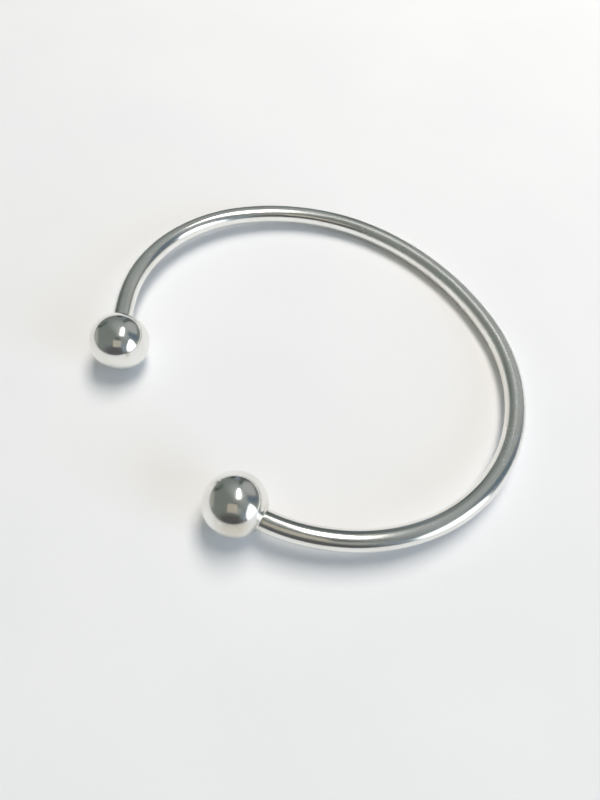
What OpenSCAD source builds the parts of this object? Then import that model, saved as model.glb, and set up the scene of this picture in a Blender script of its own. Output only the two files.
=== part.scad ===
/* [Balls] */
// Diameter of the solid ball on each end of the wire
ball_d = 9; // [8:0.1:11]

/* [Wire] */
// Diameter of the round wire
wire_d = 3.1; // [2.5:0.1:3.6]

/* [Back] */
// Radius of the arc across the back; every radius is that of the wire's centre line
back_r = 42; // [38:1:46]
// Degrees of the back arc to the right of its middle
back_sweep_right = 16; // [14:1:18]
// Degrees of the back arc to the left of its middle
back_sweep_left = 19; // [17:1:21]

/* [Right arm] */
// Radius of the right shoulder, where the wire turns forward from the back
right_shoulder_r = 28.5; // [27:0.5:30]
// Degrees of the right shoulder
right_shoulder_sweep = 57; // [54:1:60]
// Radius of the right side
right_side_r = 25.5; // [24:0.5:27]
// Degrees of the right side
right_side_sweep = 30; // [27:1:33]
// Radius of the run from the right side to its ball
right_run_r = 28.5; // [27:0.5:30]
// Degrees of the run from the right side to its ball
right_run_sweep = 56; // [52:1:60]

/* [Left arm] */
// Radius of the left shoulder, which is more open than the right one
left_shoulder_r = 33; // [31.5:0.5:34.5]
// Degrees of the left shoulder
left_shoulder_sweep = 52; // [49:1:55]
// Radius of the left side, which is bent tighter than the right one
left_side_r = 24; // [23:0.5:25.5]
// Degrees of the left side
left_side_sweep = 70; // [66:1:74]
// Radius of the nearly straight run from the left side to its ball
left_run_r = 48; // [44:1:52]
// Degrees of the run from the left side to its ball
left_run_sweep = 11; // [8:1:14]

/* [Hidden] */
$fn = 64;

ball_r = ball_d / 2;
wire_r = wire_d / 2;

// Shoulders and runs are thinner in radius than the bends beside them and lap into them, so
// that the bends join as one solid and no two surfaces lie on each other
thinner_by = 0.01;
lap_length = 0.2;

// Bends of each arm from the middle of the back to the ball: radius, sweep
right_bends = [
    [back_r, back_sweep_right],
    [right_shoulder_r, right_shoulder_sweep],
    [right_side_r, right_side_sweep],
    [right_run_r, right_run_sweep]
];
left_bends = [
    [back_r, back_sweep_left],
    [left_shoulder_r, left_shoulder_sweep],
    [left_side_r, left_side_sweep],
    [left_run_r, left_run_sweep]
];
first_arm_bend = 1;
last_bend = len(right_bends) - 1;

// Plan of an arm, seen from above. The centre line starts at [0, 0] in the middle of the back,
// heads along +X and bends clockwise. The left arm is worked out the same way, then mirrored.

// Degrees that the wire has turned through where a bend begins
function turned(bends, i) = i == 0 ? 0 : turned(bends, i - 1) + bends[i - 1][1];

// Where a bend begins, or where the arm ends if i is past the last bend
function start(bends, i) = i == 0 ? [0, 0] : on_bend(bends, i - 1, turned(bends, i));

// Where the wire has turned through the given degrees, on a bend that reaches them
function on_bend(bends, i, turn) =
    start(bends, i) + bends[i][0] * (circle_point(turn) - circle_point(turned(bends, i)));
function circle_point(turn) = [sin(turn), cos(turn)];
function mirrored(p) = [-p.x, p.y];

right_end = start(right_bends, last_bend + 1);
left_end = mirrored(start(left_bends, last_bend + 1));

// The line through both ball centres lies along X, with its middle at the plan's origin
ball_line_angle = atan2(right_end.y - left_end.y, right_end.x - left_end.x);
ball_line_middle = (right_end + left_end) / 2;
function level(p) =
    let (d = p - ball_line_middle, c = cos(ball_line_angle), s = sin(ball_line_angle))
    [d.x * c + d.y * s, d.y * c - d.x * s];

// How far the centre line reaches from there: backward, and sideways on each arm
back_reach = level([0, -back_r]).y + back_r;
function clamped(v, low, high) = min(max(v, low), high);
function nearest_on_bend(bends, i, turn) =
    on_bend(bends, i, clamped(turn, turned(bends, i), turned(bends, i + 1)));
right_reach = max([for (i = [0 : last_bend])
    level(nearest_on_bend(right_bends, i, 90 - ball_line_angle)).x]);
left_reach = max([for (i = [0 : last_bend])
    -level(mirrored(nearest_on_bend(left_bends, i, 90 + ball_line_angle))).x]);

// At rest the bangle stands on both balls and on the middle of the back. The plane of the
// wire falls from ball_r above the surface at the ball line to wire_r above it at the back.
slope = asin(ball_r / norm([back_reach, wire_r])) - atan2(wire_r, back_reach);

// Middle of the resting bangle's box, measured from the middle of the ball line
box_middle_x = (right_reach - left_reach) / 2;
box_middle_y = (back_reach * cos(slope) + wire_r - ball_r) / 2;

// Part of a bend that begins at the origin heading along +X, between two turns in degrees
module bend(radius, from, to, r) {
    translate([0, -radius, 0])
        rotate(90 - to)
            rotate_extrude(angle = to - from)
                translate([radius, 0])
                    circle(r = r);
}

// Moves its children to where a bend begins, or to the arm's end past the last bend
module at_bend(bends, i) {
    translate(start(bends, i))
        rotate(-turned(bends, i))
            children();
}

// A bend that laps into the one before it, and into the one after it unless it is the last
module lapping_bend(bends, i) {
    radius = bends[i][0];
    lap = lap_length / radius * 180 / PI;
    at_bend(bends, i)
        bend(radius, -lap, bends[i][1] + (i < last_bend ? lap : 0), wire_r - thinner_by);
}

// One arm from the end of the back to its ball: shoulder, side, run and the soldered ball
module arm(bends) {
    for (i = [first_arm_bend : last_bend]) {
        if (i % 2 == 1) lapping_bend(bends, i);
        else at_bend(bends, i) bend(bends[i][0], 0, bends[i][1], wire_r);
    }
    at_bend(bends, last_bend + 1) sphere(r = ball_r);
}

// Wire and balls in the wire's own plane, with the middle of the ball line at the origin
module flat_bangle() {
    rotate(-ball_line_angle)
        translate([-ball_line_middle.x, -ball_line_middle.y, 0]) {
            bend(back_r, -back_sweep_left, back_sweep_right, wire_r);
            arm(right_bends);
            mirror([1, 0, 0]) arm(left_bends);
        }
}

// The whole bangle, one piece of polished silver, as it rests on a flat surface
module bangle() {
    color("silver")
        translate([-box_middle_x, -box_middle_y, ball_r])
            rotate([-slope, 0, 0])
                flat_bangle();
}

bangle();
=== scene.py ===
import math

import bpy
import numpy as np
from mathutils import Matrix, Vector


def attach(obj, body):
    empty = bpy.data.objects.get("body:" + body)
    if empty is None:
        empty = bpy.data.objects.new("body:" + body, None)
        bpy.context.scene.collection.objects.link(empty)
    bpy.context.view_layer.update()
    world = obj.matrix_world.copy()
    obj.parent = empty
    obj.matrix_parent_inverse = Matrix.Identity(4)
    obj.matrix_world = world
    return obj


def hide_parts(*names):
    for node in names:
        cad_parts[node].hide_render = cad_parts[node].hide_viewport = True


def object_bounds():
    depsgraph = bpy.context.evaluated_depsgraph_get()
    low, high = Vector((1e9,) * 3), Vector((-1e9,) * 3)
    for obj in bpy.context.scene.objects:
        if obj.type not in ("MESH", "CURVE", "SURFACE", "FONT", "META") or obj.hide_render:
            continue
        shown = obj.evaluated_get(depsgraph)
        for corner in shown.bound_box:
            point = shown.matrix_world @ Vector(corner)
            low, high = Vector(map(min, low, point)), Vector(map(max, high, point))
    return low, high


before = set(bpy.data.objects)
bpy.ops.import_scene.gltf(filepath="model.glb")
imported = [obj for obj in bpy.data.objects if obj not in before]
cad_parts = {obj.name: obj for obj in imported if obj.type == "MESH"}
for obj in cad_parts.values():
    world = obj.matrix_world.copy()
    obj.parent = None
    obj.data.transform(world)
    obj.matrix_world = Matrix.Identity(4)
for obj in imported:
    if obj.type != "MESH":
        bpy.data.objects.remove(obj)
cad_low, cad_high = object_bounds()
MM = 0.001


# Camera
# A wide lens held close above the mouth of the bangle, a little to the right of its middle,
# looking down steeply across the near ball.
CAMERA_PLACE = (40.91, -37.47, 78.25)
CAMERA_FORWARD = (-0.3916, 0.3328, -0.8578)
CAMERA_DOWN = (0.7035, -0.4934, -0.5116)
CAMERA_LENS = 26.0
CAMERA_NEAREST = 5

camera_data = bpy.data.cameras.new("camera")
camera_data.lens = CAMERA_LENS
camera_data.clip_start = CAMERA_NEAREST * MM
camera = bpy.data.objects.new("camera", camera_data)
bpy.context.scene.collection.objects.link(camera)
back = -Vector(CAMERA_FORWARD).normalized()
right = (-Vector(CAMERA_DOWN)).cross(back).normalized()
camera.matrix_world = Matrix.Translation(Vector(CAMERA_PLACE) * MM) @ Matrix(
    (right, back.cross(right), back)
).transposed().to_4x4()
bpy.context.scene.camera = camera


# Bangle
# One length of round silver wire, bent by hand into an open oval, with a solid ball soldered on
# each end. The solder leaves a small hollow fillet round the neck, and the whole is polished.
BALL_D = 9.0
WIRE_D = 3.1
FILLET = 0.35
# Bends from the left ball to the right one: radius of the centre line, degrees turned
BENDS = (
    (48.0, 11),
    (24.0, 70),
    (33.0, 52),
    (42.0, 35),
    (28.5, 57),
    (25.5, 30),
    (28.5, 56),
)
# A bend runs into the next over this length, because wire doesn't change its curve at once
EASING = 6.0
PATH_STEP = 0.05
# The skin is made of rings, whose gap grows from that on the balls to the widest on the wire
SIDES = 128
BALL_RINGS = 100
WIRE_RING_GAP = 0.5
RING_GAP_GROWTH = 1.12
# Hand bending leaves the wire wavy: length of a wave, how far it strays sideways and up
WAVES = ((7.3, 0.0022, 0.0016), (11.9, 0.0052, 0.0034), (19.7, 0.0110, 0.0070))

ball_r, wire_r = BALL_D / 2, WIRE_D / 2


def centre_line(bends):
    """Steps along the wire's centre line in its own plane: length so far, place, heading."""
    lengths = [radius * math.radians(turn) for radius, turn in bends]
    at = np.arange(0, sum(lengths), PATH_STEP)
    bend = np.searchsorted(np.cumsum(lengths), at, side="right").clip(max=len(bends) - 1)
    curve = 1 / np.array([radius for radius, turn in bends])[bend]
    ease = round(EASING / PATH_STEP / 2)
    padded = np.pad(curve, ease, mode="edge")
    curve = np.convolve(padded, np.ones(2 * ease + 1) / (2 * ease + 1), mode="valid")
    heading = -np.cumsum(curve) * PATH_STEP
    place = np.cumsum(np.stack([np.cos(heading), np.sin(heading)], 1), 0) * PATH_STEP
    return at, place, heading


path_at, path_place, path_heading = centre_line(BENDS)
ball_line = path_place[-1] - path_place[0]
turn = math.atan2(ball_line[1], ball_line[0])
level = np.array([[math.cos(turn), math.sin(turn)], [-math.sin(turn), math.cos(turn)]])
path_place = (path_place - path_place[0]) @ level.T
path_heading = path_heading - turn
wire_length = path_at[-1]


def on_path(at):
    """Place and heading at each length along the path, which runs straight on past its ends."""
    inside = np.clip(at, 0, wire_length)
    heading = np.interp(inside, path_at, path_heading)
    place = np.stack([np.interp(inside, path_at, path_place[:, i]) for i in (0, 1)], 1)
    place += (at - inside)[:, None] * np.stack([np.cos(heading), np.sin(heading)], 1)
    return place, heading


def half_rings():
    """Lengths from a ball's middle at which there is a ring, from its pole to mid wire."""
    neck = math.asin(wire_r / ball_r)
    rings = list(-ball_r * np.cos(np.linspace(0, math.pi - neck, BALL_RINGS)))[1:]
    gap = rings[-1] - rings[-2]
    while rings[-1] + gap < wire_length / 2:
        rings.append(rings[-1] + gap)
        gap = min(gap * RING_GAP_GROWTH, WIRE_RING_GAP)
    return np.array(rings)


def ball_reach(place, outward, ball):
    """How far out from the path the ball's surface lies, negative past where it ends."""
    to_ring = place - ball
    along = np.einsum("rj,rsj->rs", to_ring, outward)
    room = along**2 - (to_ring**2).sum(1)[:, None] + ball_r**2
    return np.sign(room) * np.sqrt(np.abs(room)) - along


def fused_bangle():
    """The wire and both balls as one closed skin of rings: vertices, faces, and the place that
    each vertex would have if the wire were straight."""
    half = half_rings()
    at = np.concatenate([half, (wire_length - half)[::-1]])
    flat, heading = on_path(at)
    ahead = np.stack([np.cos(heading), np.sin(heading)], 1)
    aside = np.stack([-ahead[:, 1], ahead[:, 0]], 1)
    around = np.linspace(0, 2 * math.pi, SIDES, endpoint=False)
    outward = np.zeros((len(at), SIDES, 3))
    outward[:, :, :2] = aside[:, None, :] * np.cos(around)[None, :, None]
    outward[:, :, 2] = np.sin(around)
    place = np.pad(flat, ((0, 0), (0, 1)))
    ends = np.pad(on_path(np.array([0, wire_length]))[0], ((0, 0), (0, 1)))
    reach = np.full((len(at), SIDES), wire_r)
    for ball, from_end in ((ends[0], at), (ends[1], wire_length - at)):
        ball_only = ball_reach(place, outward, ball)
        gap = np.abs(reach - ball_only)
        fillet = np.maximum(FILLET - gap, 0) ** 2 / (4 * FILLET)
        both = np.maximum(reach, ball_only) + fillet
        near = from_end < 2 * ball_r
        reach = np.where(near[:, None], np.where(from_end[:, None] < 0, ball_only, both), reach)
    # The waves build up over one radius past each ball
    free = np.clip((np.minimum(at, wire_length - at) - ball_r) / ball_r, 0, 1)
    free = free * free * (3 - 2 * free)
    for k, (wave, sideways, up) in enumerate(WAVES):
        place[:, :2] += aside * (free * sideways * np.sin(2 * math.pi * at / wave + k))[:, None]
        place[:, 2] += free * up * np.sin(2 * math.pi * at / wave + 2 * k)
    rings = place[:, None, :] + outward * reach[:, :, None]
    poles = ends + np.pad(
        on_path(np.array([-ball_r, wire_length + ball_r]))[0] - ends[:, :2], ((0, 0), (0, 1))
    )
    verts = np.concatenate([rings.reshape(-1, 3), poles])
    first = np.arange(len(at) - 1)[:, None] * SIDES + np.arange(SIDES)
    beside = np.roll(first, -1, axis=1)
    quads = np.stack([first, beside, beside + SIDES, first + SIDES], -1).reshape(-1, 4)
    ring = np.arange(SIDES)
    last = (len(at) - 1) * SIDES
    start_fan = [(len(verts) - 2, (s + 1) % SIDES, s) for s in ring]
    end_fan = [(len(verts) - 1, last + s, last + (s + 1) % SIDES) for s in ring]
    straight = np.stack(
        [np.repeat(at[:, None], SIDES, 1), reach * np.cos(around), reach * np.sin(around)], -1
    )
    straight = np.concatenate(
        [straight.reshape(-1, 3), [(-ball_r, 0, 0), (wire_length + ball_r, 0, 0)]]
    )
    return verts, quads.tolist() + start_fan + end_fan, straight


def at_rest(verts):
    """The bangle stood on both balls and the back of its wire, on the place the frame gives."""
    back_reach = path_place[:, 1].max()
    slope = math.asin(ball_r / math.hypot(back_reach, wire_r)) - math.atan2(wire_r, back_reach)
    cos, sin = math.cos(slope), math.sin(slope)
    tilt = np.array([[1, 0, 0], [0, cos, sin], [0, -sin, cos]])
    verts = verts @ tilt.T
    low, high = verts.min(0), verts.max(0)
    cad_middle = np.array((cad_low + cad_high) / 2) / MM
    verts[:, :2] += (cad_middle - (low + high) / 2)[:2]
    verts[:, 2] -= low[2]
    return verts


bangle_verts, bangle_faces, bangle_straight = fused_bangle()
bangle_verts = at_rest(bangle_verts)
mesh = bpy.data.meshes.new("silver_bangle")
mesh.from_pydata((bangle_verts * MM).tolist(), [], bangle_faces)
mesh.polygons.foreach_set("use_smooth", [True] * len(mesh.polygons))
straightened = mesh.attributes.new("straightened", "FLOAT_VECTOR", "POINT")
straightened.data.foreach_set("vector", bangle_straight.ravel())
bangle = bpy.data.objects.new("silver_bangle", mesh)
bpy.context.scene.collection.objects.link(bangle)


class Shade:
    """A socket of a node tree. Sums on it add Math nodes, and node() adds any other node."""

    def __init__(self, tree, socket=None):
        self.tree, self.socket = tree, socket

    def node(self, kind, settings, inputs, output=0):
        """Sets the node's settings, then its sockets; gives one output."""
        made = self.tree.nodes.new(kind)
        for name, value in settings.items():
            setattr(made, name, value)
        self.fill(made, inputs)
        return Shade(self.tree, made.outputs[output])

    def fill(self, node, inputs):
        """Gives sockets of a node their values or links."""
        for name, value in inputs.items():
            if isinstance(value, Shade):
                self.tree.links.new(value.socket, node.inputs[name])
            else:
                node.inputs[name].default_value = value

    def surface(self, inputs):
        """Fills sockets of the material's own surface shader."""
        self.fill(self.tree.nodes["Principled BSDF"], inputs)

    def maths(self, operation, first, second=0.0):
        return self.node("ShaderNodeMath", {"operation": operation}, {0: first, 1: second})

    def __add__(self, other):
        return self.maths("ADD", self, other)

    def __sub__(self, other):
        return self.maths("SUBTRACT", self, other)

    def __rsub__(self, other):
        return self.maths("SUBTRACT", other, self)

    def __mul__(self, other):
        return self.maths("MULTIPLY", self, other)

    __radd__, __rmul__ = __add__, __mul__

    def __abs__(self):
        return self.maths("ABSOLUTE", self)

    def smooth(self, low, high):
        """0 below low and 1 above high, or the other way round, with a soft step between."""
        return self.node(
            "ShaderNodeMapRange",
            {"interpolation_type": "SMOOTHSTEP"},
            {"Value": self, "From Min": low, "From Max": high},
        )


def mixed(amount, first, second):
    """The first colour turning into the second as amount goes from 0 to 1."""
    return amount.node(
        "ShaderNodeMix", {"data_type": "RGBA"}, {0: amount, 6: first, 7: second}, output=2
    )


SILVER = (0.91, 0.905, 0.875, 1)
WORN_SILVER = (0.84, 0.83, 0.79, 1)
TARNISH = (0.62, 0.57, 0.46, 1)
TARNISH_SHARE, STAIN_SHARE = 0.5, 0.7
# Sizes and places below are on the straightened wire
NECK_FADE = 1
GRIPPED_FROM, GRIPPED_TO = (56, 68), (128, 108)
DRAWN_LINE_LENGTH, DRAWN_LINE_WIDTH = 6.0, 0.09
TARNISH_REACH = 0.7
STAIN_MIDDLE = (162.0, 3.6, 1.9)
STAIN_OUTSIDE, STAIN_INSIDE = 3.0, 0.8
SPECK_SPACING = 0.55
# The edge of a speck, soft from outside to inside, as a share of the spacing
SPECK_EDGE = (0.13, 0.04)
SCRATCH_SPACING = 1.6
SCRATCH_STRETCHES = ((1, 1.4, 0.7), (0.8, 0.6, 1.5), (2.2, 0.7, 1.1))
SCRATCH_BENT = 0.6
# The middle value of noise, and how far from it a hairline ends
NOISE_MIDDLE, HAIRLINE = 0.5, 0.004
# Patches of noise: grains a millimetre, the values between which they build up, and detail
CLOUD_PATCHES = (0.2, 0.35, 0.7, 3.0)
SCRATCH_PATCHES = (0.9, 0.48, 0.62)
SPECK_PATCHES = (0.5, 0.5, 0.62)
TARNISH_PATCHES = (1.5, 0.3, 0.65, 4.0)
STAIN_PATCHES = (0.8, 0.15, 0.55, 3.0)
# Relief of the lines, the scratches, the specks and a slight unevenness, and its grains a mm
LINE_HEIGHT, SCRATCH_DEPTH, SPECK_DEPTH = 0.0008, 0.00048, 0.0008
UNEVEN_HEIGHT, UNEVEN_GRAINS = 0.0024, 0.45
BALL_ROUGHNESS = 0.09

silver = bpy.data.materials.new("polished_silver")
silver.use_nodes = True
shade = Shade(silver.node_tree)
place = shade.node("ShaderNodeAttribute", {"attribute_name": "straightened"}, {}, output="Vector")
along = place.node("ShaderNodeSeparateXYZ", {}, {0: place})


def noise(at, grains, detail=2.0, distortion=0.0):
    """Noise from 0 to 1 at a place, with so many grains a unit of length."""
    return at.node(
        "ShaderNodeTexNoise",
        {},
        {"Vector": at, "Scale": grains, "Detail": detail, "Distortion": distortion},
    )


def patches(at, grains, clear, full, detail=2.0):
    """Soft patches: 0 where the noise at a place is below clear, and 1 where it is above full."""
    return noise(at, grains, detail).smooth(clear, full)


def stretched(at, factors):
    """A place with each of its three lengths multiplied."""
    return at.node("ShaderNodeVectorMath", {"operation": "MULTIPLY"}, {0: at, 1: factors})


def distance(at, point):
    """How far a place is from a point."""
    return at.node(
        "ShaderNodeVectorMath", {"operation": "DISTANCE"}, {0: at, 1: point}, output="Value"
    )


# Soft clouds where hands and cloth have dulled the polish
cloud = patches(place, *CLOUD_PATCHES)
# The wire keeps a softer shine than the balls, which are easier to buff, and it is dullest on
# the right shoulder, where it is gripped
neck = math.sqrt(ball_r**2 - wire_r**2)
far_neck = wire_length - neck
on_wire = along.smooth(neck, neck + NECK_FADE) * along.smooth(far_neck, far_neck - NECK_FADE)
gripped = along.smooth(*GRIPPED_FROM) * along.smooth(*GRIPPED_TO)
# Faint lines along the wire that drawing and polishing left
across_lines = 1 / DRAWN_LINE_WIDTH
lines = noise(stretched(place, (1 / DRAWN_LINE_LENGTH, across_lines, across_lines)), 1.0)
# Hairline scratches run where a field of noise passes its middle value
hairs = [
    noise(stretched(place, factors), 1 / SCRATCH_SPACING, detail=1.0, distortion=SCRATCH_BENT)
    for factors in SCRATCH_STRETCHES
]
scratches = sum(
    abs(hair - NOISE_MIDDLE).smooth(HAIRLINE, 0.0) * patches(place, *SCRATCH_PATCHES)
    for hair in hairs
)
# Tiny dents that catch the light as specks
from_speck = place.node(
    "ShaderNodeTexVoronoi", {}, {"Vector": place, "Scale": 1 / SPECK_SPACING}, output="Distance"
)
specks = from_speck.smooth(*SPECK_EDGE) * patches(place, *SPECK_PATCHES)
# Polish doesn't reach into the corner between the wire and each ball
corners = sum(abs(along - at).smooth(TARNISH_REACH, 0.0) for at in (neck, far_neck))
tarnish = corners * patches(place, *TARNISH_PATCHES)
# A faint brown stain low on the right ball
stain = distance(place, STAIN_MIDDLE).smooth(STAIN_OUTSIDE, STAIN_INSIDE)
stain = stain * patches(place, *STAIN_PATCHES)

colour = mixed(cloud, SILVER, WORN_SILVER)
colour = mixed(tarnish * TARNISH_SHARE + stain * STAIN_SHARE, colour, TARNISH)
relief = lines * LINE_HEIGHT - scratches * SCRATCH_DEPTH - specks * SPECK_DEPTH
relief = relief + noise(place, UNEVEN_GRAINS) * UNEVEN_HEIGHT
# The wire and each kind of mark add so much to the roughness of a clean ball
added_roughness = sum(
    where * roughness
    for where, roughness in (
        (on_wire, 0.02),
        (gripped, 0.14),
        (cloud, 0.05),
        (lines, 0.04),
        (scratches, 0.12),
        (specks, 0.1),
        (tarnish, 0.2),
        (stain, 0.03),
    )
)
shade.surface(
    {
        "Base Color": colour,
        "Metallic": 1.0,
        "Roughness": BALL_ROUGHNESS + added_roughness,
        "Normal": relief.node("ShaderNodeBump", {}, {"Height": relief, "Distance": MM}),
    }
)
mesh.materials.append(silver)
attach(bangle, "root")
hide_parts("bangle")


# Table
# A plain white board that the bangle rests on. Its matt paint is a little cloudy and has a
# fine grain.
TABLE_HALF = 1300
TABLE_WHITE = (0.905, 0.905, 0.905, 1)
TABLE_CLOUD = (0.885, 0.887, 0.89, 1)
# The size of a cloud, then the values of noise between which it builds up, and detail
TABLE_CLOUD_SIZE, TABLE_CLOUD_NOISE = 30, (0.35, 0.7, 4.0)
TABLE_GRAIN_SIZE, TABLE_GRAIN_HEIGHT = 0.5, 0.01
TABLE_ROUGHNESS, TABLE_GRAIN_ROUGHNESS = 0.75, 0.1
TABLE_GLOSS = 0.2
# Away from under the strip light, where its light thins out, the board glows with painted light up
# to the paleness of the backdrop
UNDER_STRIP = (-142, 306)
PAINTED_GLOW_FROM, PAINTED_GLOW_TO = 300, 1000
PAINTED_GLOW_STRENGTH = 0.42
BLACK, WHITE = (0, 0, 0, 1), (1, 1, 1, 1)
# Corners of a sheet from its middle, in halves of its size
SHEET_CORNERS = ((-1, -1), (1, -1), (1, 1), (-1, 1))

table_mesh = bpy.data.meshes.new("table")
table_mesh.from_pydata(
    [(x * TABLE_HALF * MM, y * TABLE_HALF * MM, 0) for x, y in SHEET_CORNERS], [], [(0, 1, 2, 3)]
)
table = bpy.data.objects.new("table", table_mesh)
bpy.context.scene.collection.objects.link(table)
board = bpy.data.materials.new("pale_board")
board.use_nodes = True
shade = Shade(board.node_tree)
place = shade.node("ShaderNodeTexCoord", {}, {}, output="Object")
cloud = patches(place, 1 / (TABLE_CLOUD_SIZE * MM), *TABLE_CLOUD_NOISE)
grain = noise(place, 1 / (TABLE_GRAIN_SIZE * MM))
# Painted light: the board glows, for camera rays only, more the farther it is from under the strip
painted_glow = distance(place, Vector((*UNDER_STRIP, 0)) * MM).smooth(PAINTED_GLOW_FROM * MM, PAINTED_GLOW_TO * MM)
painted_glow = painted_glow * shade.node("ShaderNodeLightPath", {}, {}, output="Is Camera Ray")
shade.surface(
    {
        "Base Color": mixed(cloud, TABLE_WHITE, TABLE_CLOUD),
        "Roughness": TABLE_ROUGHNESS + grain * TABLE_GRAIN_ROUGHNESS,
        "Specular IOR Level": TABLE_GLOSS,
        "Emission Color": mixed(painted_glow, BLACK, WHITE),
        "Emission Strength": PAINTED_GLOW_STRENGTH,
        "Normal": grain.node(
            "ShaderNodeBump", {}, {"Height": grain, "Distance": TABLE_GRAIN_HEIGHT * MM}
        ),
    }
)
table_mesh.materials.append(board)


# Light
# A soft strip high overhead, a bright panel that stands to the right, a small lamp and a warm
# card close above, and the dim grey room that the polished silver shows round them.
STRIP_MIDDLE = (*UNDER_STRIP, 700)
STRIP_SIZE = (530, 304)
STRIP_TURNED = 150
STRIP_WATTS = 5.1
STRIP_COLOUR = (1.0, 0.95, 0.905)
# The silver mirrors this lamp and not the strip. Its sheet is see-through where it is dark
LAMP_MIDDLE = (-5, 37, 160)
LAMP_TURNED = 145
# Corners of the sheet from the lamp's middle: along, across
LAMP_CORNERS = ((-80, -48), (60, -48), (60, 48), (-80, 48))
# Half width and both ends of the lamp and of its halo, each soft from dark to full light
LAMP_HALF_WIDTH, LAMP_ENDS = (18.5, 14), ((-61, -51), (57, 43))
HALO_HALF_WIDTH, HALO_ENDS = (48, 12), ((-80, -50), (50, 15))
HALO_SHARE = 0.1
# Where the taper begins and would end, and how much narrower each side would be there
TAPER_FROM, TAPER_TO, TAPER = -10, 100, 12
LAMP_COLOUR = (1.0, 0.975, 0.935, 1)
LAMP_STRENGTH = 4.5
# Middle of the ball line, from which the corners of the panel are given: azimuth, elevation
SEEN_FROM = (-1, -25.6, 4.5)
PANEL_FACES, PANEL_AWAY = 25, 2500
PANEL_CORNERS = (
    (3, -0.5), (2, 13), (7, 24), (17, 31), (30, 36), (39, 35.5), (42.5, 29), (42, 16), (38, -0.5)
)
# The panel's light on the table, and what of it the silver shows
PANEL_COLOUR = (0.51, 0.70, 1.0, 1)
PANEL_MIRRORED = (0.36, 0.37, 0.38, 1)
PANEL_STRENGTH = 4.4
CARD_MIDDLE = (53, -66, 86)
CARD_SIZE = (59, 50)
CARD_AZIMUTH = 50
CARD_COLOUR = (0.62, 0.57, 0.49, 1)
CARD_ROUGHNESS = 0.9
ROOM_GREY = (0.182, 0.203, 0.192, 1)
# The light of the whole room on the table, what of it the silver throws down on the table, and
# what the camera sees past the table
ROOM_FILL = (0.225, 0.238, 0.222, 1)
THROWN_BACK = (0.80, 0.79, 0.74, 1)
PLAIN_WHITE = (0.85, 0.85, 0.85, 1)
# Soft patches of the room: azimuth and elevation of the middle, degrees from there to the
# sides and to the top, how much of that is soft, and colour
ROOM_PATCHES = (
    (95, 66, 50, 28, 1.2, (0.32, 0.345, 0.345)),
    (-135, 6, 24, 13, 0.8, (0.36, 0.37, 0.34)),
    (-45, 12, 38, 26, 0.8, (0.095, 0.095, 0.10)),
    (-170, 24, 10, 11, 1.0, (0.095, 0.125, 0.11)),
    (-160, 16, 4, 11, 0.8, (0.05, 0.06, 0.055)),
    (-18, 44, 16, 12, 1.0, (0.33, 0.34, 0.31)),
    (-20, 66, 10, 6, 1.0, (0.10, 0.105, 0.10)),
    (-6, 24, 9, 20, 0.8, (0.23, 0.265, 0.30)),
    (62, 28, 14, 24, 0.8, (0.12, 0.155, 0.19)),
    (97, 26, 25, 24, 0.6, (0.355, 0.37, 0.365)),
    (88, 8, 16, 4, 0.8, (0.15, 0.16, 0.16)),
    (129, 18, 6, 24, 0.6, (0.10, 0.12, 0.12)),
    (141, 9, 5, 10, 0.7, (0.18, 0.225, 0.28)),
    (152, 7, 5, 7, 0.7, (0.05, 0.06, 0.07)),
)


def direction(azimuth, elevation):
    """The unit vector that points that way, in degrees; azimuth 0 is along +X."""
    across, up = math.radians(azimuth), math.radians(elevation)
    return Vector((math.cos(up) * math.cos(across), math.cos(up) * math.sin(across), math.sin(up)))


strip_light = bpy.data.lights.new("overhead_strip", "AREA")
strip_light.shape = "RECTANGLE"
strip_light.size, strip_light.size_y = (side * MM for side in STRIP_SIZE)
strip_light.energy, strip_light.color = STRIP_WATTS, STRIP_COLOUR
strip = bpy.data.objects.new("overhead_strip", strip_light)
strip.matrix_world = Matrix.Translation(Vector(STRIP_MIDDLE) * MM) @ Matrix.Rotation(
    math.radians(STRIP_TURNED), 4, "Z"
)
strip.visible_camera = strip.visible_glossy = False
bpy.context.scene.collection.objects.link(strip)


def dot(at, axis):
    """How far a place or a direction reaches along an axis."""
    return at.node(
        "ShaderNodeVectorMath", {"operation": "DOT_PRODUCT"}, {0: at, 1: axis}, output="Value"
    )


def stage_sheet(name, corners, lights_table):
    """A flat sheet of the stage that the camera doesn't see; gives its material to fill in."""
    sheet_mesh = bpy.data.meshes.new(name)
    sheet_mesh.from_pydata([corner * MM for corner in corners], [], [range(len(corners))])
    sheet_mesh.materials.append(bpy.data.materials.new(name))
    sheet_mesh.materials[0].use_nodes = True
    sheet = bpy.data.objects.new(name, sheet_mesh)
    sheet.visible_camera = False
    sheet.visible_diffuse = sheet.visible_shadow = lights_table
    bpy.context.scene.collection.objects.link(sheet)
    return Shade(sheet_mesh.materials[0].node_tree)


lamp_along, lamp_across = direction(LAMP_TURNED, 0), direction(LAMP_TURNED + 90, 0)
shade = stage_sheet(
    "mirrored_lamp",
    [Vector(LAMP_MIDDLE) + lamp_along * x + lamp_across * y for x, y in LAMP_CORNERS],
    lights_table=False,
)
place = shade.node("ShaderNodeTexCoord", {}, {}, output="Object")
from_middle = place.node(
    "ShaderNodeVectorMath", {"operation": "SUBTRACT"}, {0: place, 1: Vector(LAMP_MIDDLE) * MM}
)
at_along, at_across = (dot(from_middle, axis / MM) for axis in (lamp_along, lamp_across))
from_line = abs(at_across) + at_along.smooth(TAPER_FROM, TAPER_TO) * TAPER


def glow(half_width, ends):
    """How fully a strip of the lamp's sheet glows, from 0 to 1."""
    return from_line.smooth(*half_width) * at_along.smooth(*ends[0]) * at_along.smooth(*ends[1])


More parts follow.
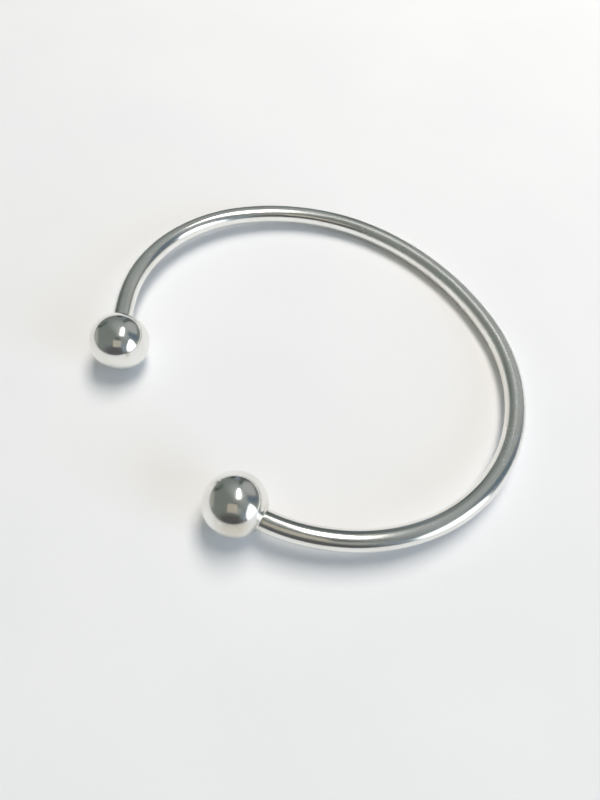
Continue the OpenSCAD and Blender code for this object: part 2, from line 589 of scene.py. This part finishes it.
lamp_glow, halo_glow = glow(LAMP_HALF_WIDTH, LAMP_ENDS), glow(HALO_HALF_WIDTH, HALO_ENDS)
shade.surface(
    {
        "Base Color": BLACK,
        "Emission Color": LAMP_COLOUR,
        "Emission Strength": LAMP_STRENGTH,
        "Alpha": lamp_glow * (1 - HALO_SHARE) + halo_glow * HALO_SHARE,
    }
)

facing = direction(PANEL_FACES, 0)
rays = [direction(*corner) for corner in PANEL_CORNERS]
shade = stage_sheet(
    "side_panel",
    [Vector(SEEN_FROM) + ray * (PANEL_AWAY / ray.dot(facing)) for ray in rays],
    lights_table=True,
)
seen_by_silver = shade.node("ShaderNodeLightPath", {}, {}, output="Is Glossy Ray")
shade.surface(
    {
        "Base Color": BLACK,
        "Emission Color": mixed(seen_by_silver, PANEL_COLOUR, PANEL_MIRRORED),
        "Emission Strength": PANEL_STRENGTH,
    }
)

card_across = direction(CARD_AZIMUTH, 0)
card_up = (Vector(CARD_MIDDLE) - Vector(SEEN_FROM)).normalized().cross(card_across)
card_half = card_across * CARD_SIZE[0] / 2, card_up * CARD_SIZE[1] / 2
shade = stage_sheet(
    "warm_card",
    [Vector(CARD_MIDDLE) + card_half[0] * x + card_half[1] * y for x, y in SHEET_CORNERS],
    lights_table=False,
)
shade.surface({"Base Color": CARD_COLOUR, "Roughness": CARD_ROUGHNESS})

world = bpy.data.worlds.new("room")
bpy.context.scene.world = world
world.use_nodes = True
sky = Shade(world.node_tree)
looking = sky.node("ShaderNodeTexCoord", {}, {})
room_colour = ROOM_GREY
for azimuth, elevation, wide, high, soft, colour in ROOM_PATCHES:
    sideways, upward = (
        dot(looking, axis / math.sin(math.radians(reach)))
        for axis, reach in (
            (direction(azimuth + 90, 0), wide),
            (direction(azimuth, elevation + 90), high),
        )
    )
    inside = (sideways * sideways + upward * upward).smooth(1 + soft / 2, max(1 - soft, 0))
    room_colour = mixed(inside, room_colour, (*colour, 1))
seen_by_camera, seen_by_silver, by_way_of_table = (
    sky.node("ShaderNodeLightPath", {}, {}, output=name)
    for name in ("Is Camera Ray", "Is Glossy Ray", "Diffuse Depth")
)
mirrored = mixed(by_way_of_table.smooth(0, 1), room_colour, THROWN_BACK)
room_light = mixed(seen_by_silver, ROOM_FILL, mirrored)
room_light = mixed(seen_by_camera, room_light, PLAIN_WHITE)
sky.fill(world.node_tree.nodes["Background"], {"Color": room_light})

bpy.context.scene.view_settings.view_transform = "Standard"
